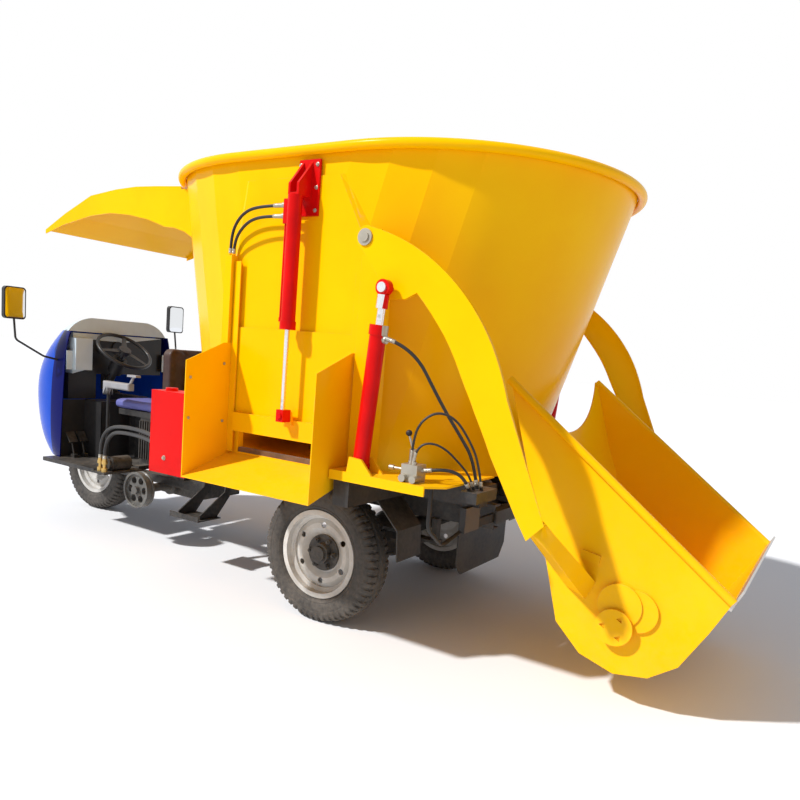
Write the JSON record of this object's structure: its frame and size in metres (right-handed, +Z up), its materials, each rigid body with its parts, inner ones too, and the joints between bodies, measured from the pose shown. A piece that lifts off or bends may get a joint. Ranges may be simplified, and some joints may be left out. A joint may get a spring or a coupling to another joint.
{
  "type": "self-propelled feed mixer wagon",
  "caption": "Three-wheeled self-propelled feed mixer with an open tub, vertical auger, side door with chute, and a rear loading bucket on lifting arms.",
  "frame": {"origin": "on the ground below the middle of the machine's overall length and width; its centre plane lies at Y = -0.056 m, because the chute stands out on the left", "axes": "+X forward, +Y to the machine's left, +Z up"},
  "size_m": [4.9974, 2.3306, 2.228],
  "materials": {
    "black_paint": "satin",
    "black_plastic": "satin",
    "blue_paint": "gloss",
    "cast_iron": "rough",
    "chrome_rod": "polished",
    "grey_plastic": "satin",
    "hose_rubber": "satin",
    "red_paint": "gloss",
    "seat_shell": "satin",
    "seat_vinyl": "satin",
    "silver_paint": "satin",
    "steel": "worn",
    "tyre_rubber": "dusty",
    "yellow_paint": "gloss"
  },
  "bodies": {
    "chassis": {"chassis_frame": "black_paint", "rear_axle": "cast_iron", "leaf_springs": "black_paint", "subframe": "black_paint", "engine": "cast_iron", "auger_gearbox": "cast_iron", "hydraulic_tank": "red_paint", "hydraulic_pump": "cast_iron", "battery_box": "black_paint", "cab_floor": "black_paint", "foot_pedals": "black_paint", "control_stand": "black_plastic", "cowl": "blue_paint", "cowl_top": "grey_plastic", "dashboard": "grey_plastic", "steering_column": "black_plastic", "seat_frame": "black_paint", "seat_cushion": "seat_vinyl", "seat_back": "seat_shell", "mirrors": "black_plastic", "tub": "yellow_paint", "tub_rim": "yellow_paint", "side_plates": "yellow_paint", "door_guides": "yellow_paint", "door_cylinder": "red_paint", "door_cylinder_bracket": "red_paint", "chute": "yellow_paint", "canopy": "yellow_paint", "arm_posts": "yellow_paint", "control_valve": "cast_iron", "rear_fenders": "black_paint", "lamps": "black_plastic", "door_hose_upper": "hose_rubber", "door_hose_lower": "hose_rubber", "lift_hose": "hose_rubber", "valve_hose_long": "hose_rubber", "valve_hose_short": "hose_rubber", "valve_hose_thick": "hose_rubber", "tank_hose_upper": "hose_rubber", "tank_hose_lower": "hose_rubber"},
    "rear_wheel_left": {"tyre_rear_left": "tyre_rubber", "wheel_rear_left": "silver_paint"},
    "rear_wheel_right": {"tyre_rear_right": "tyre_rubber", "wheel_rear_right": "silver_paint"},
    "fork": {"front_fork": "black_paint"},
    "front_wheel": {"tyre_front": "tyre_rubber", "wheel_front": "silver_paint"},
    "steering_wheel": {"steering_wheel": "black_plastic"},
    "engine_pulley": {"engine_pulley": "cast_iron"},
    "auger": {"auger": "steel"},
    "door": {"door": "yellow_paint", "door_rod": "chrome_rod"},
    "loading_arms": {"lift_arms": "yellow_paint", "bucket": "yellow_paint", "cutting_edge": "steel"},
    "cylinder_left": {"lift_cylinder_left": "red_paint"},
    "rod_left": {"lift_rod_left": "chrome_rod"},
    "cylinder_right": {"lift_cylinder_right": "red_paint"},
    "rod_right": {"lift_rod_right": "chrome_rod"}
  },
  "joints": [
    {"name": "rear_left_wheel_spin", "type": "hinge", "parent": "chassis", "child": "rear_wheel_left", "pos_m": [-0.60475, 0.576, 0.345], "axis": [0, 1, 0], "continuous": true},
    {"name": "rear_right_wheel_spin", "type": "hinge", "parent": "chassis", "child": "rear_wheel_right", "pos_m": [-0.60475, -0.688, 0.345], "axis": [0, 1, 0], "continuous": true},
    {"name": "steering", "type": "hinge", "parent": "chassis", "child": "fork", "pos_m": [1.98525, -0.056, 0.8], "axis": [-0.2419, 0, 0.9703], "range_deg": [-38, 38]},
    {"name": "front_wheel_spin", "type": "hinge", "parent": "fork", "child": "front_wheel", "pos_m": [2.07525, -0.056, 0.345], "axis": [0, 1, 0], "continuous": true},
    {"name": "steering_wheel_turn", "type": "hinge", "parent": "chassis", "child": "steering_wheel", "pos_m": [1.73525, 0.034, 1.22], "axis": [-0.5736, 0, 0.8192], "range_deg": [-305, 305]},
    {"name": "engine_pulley_spin", "type": "hinge", "parent": "chassis", "child": "engine_pulley", "pos_m": [1.05525, 0.374, 0.362], "axis": [0, 1, 0], "continuous": true},
    {"name": "auger_spin", "type": "hinge", "parent": "chassis", "child": "auger", "pos_m": [-0.40975, -0.056, 0.836], "axis": [0, 0, 1], "continuous": true},
    {"name": "door_lift", "type": "slide", "parent": "chassis", "child": "door", "axis": [0, 0, 1], "range_m": [-0.1, 0.34]},
    {"name": "bucket_lift", "type": "hinge", "parent": "chassis", "child": "loading_arms", "pos_m": [-0.98175, -0.056, 1.816], "axis": [0, 1, 0], "range_deg": [0, 110]},
    {"name": "cylinder_left_swing", "type": "hinge", "parent": "chassis", "child": "cylinder_left", "pos_m": [-1.07175, 1.0053, 0.892], "axis": [0, 1, 0], "range_deg": [0, 1.35]},
    {"name": "cylinder_left_stroke", "type": "slide", "parent": "cylinder_left", "child": "rod_left", "axis": [-0.0707, 0, 0.9975], "range_m": [0, 0.4059]},
    {"name": "cylinder_right_swing", "type": "hinge", "parent": "chassis", "child": "cylinder_right", "pos_m": [-1.07175, -1.1173, 0.892], "axis": [0, 1, 0], "range_deg": [0, 1.35]},
    {"name": "cylinder_right_stroke", "type": "slide", "parent": "cylinder_right", "child": "rod_right", "axis": [-0.0707, 0, 0.9975], "range_m": [0, 0.4059]}
  ],
  "couplings": [
    {"joint": "steering_wheel_turn", "follows": "steering", "ratio": 8},
    {"joint": "cylinder_left_swing", "follows": "bucket_lift", "ratio": 0.012122},
    {"joint": "cylinder_left_stroke", "follows": "bucket_lift", "m_per_rad": 0.21133},
    {"joint": "cylinder_right_swing", "follows": "bucket_lift", "ratio": 0.012122},
    {"joint": "cylinder_right_stroke", "follows": "bucket_lift", "m_per_rad": 0.21133}
  ]
}
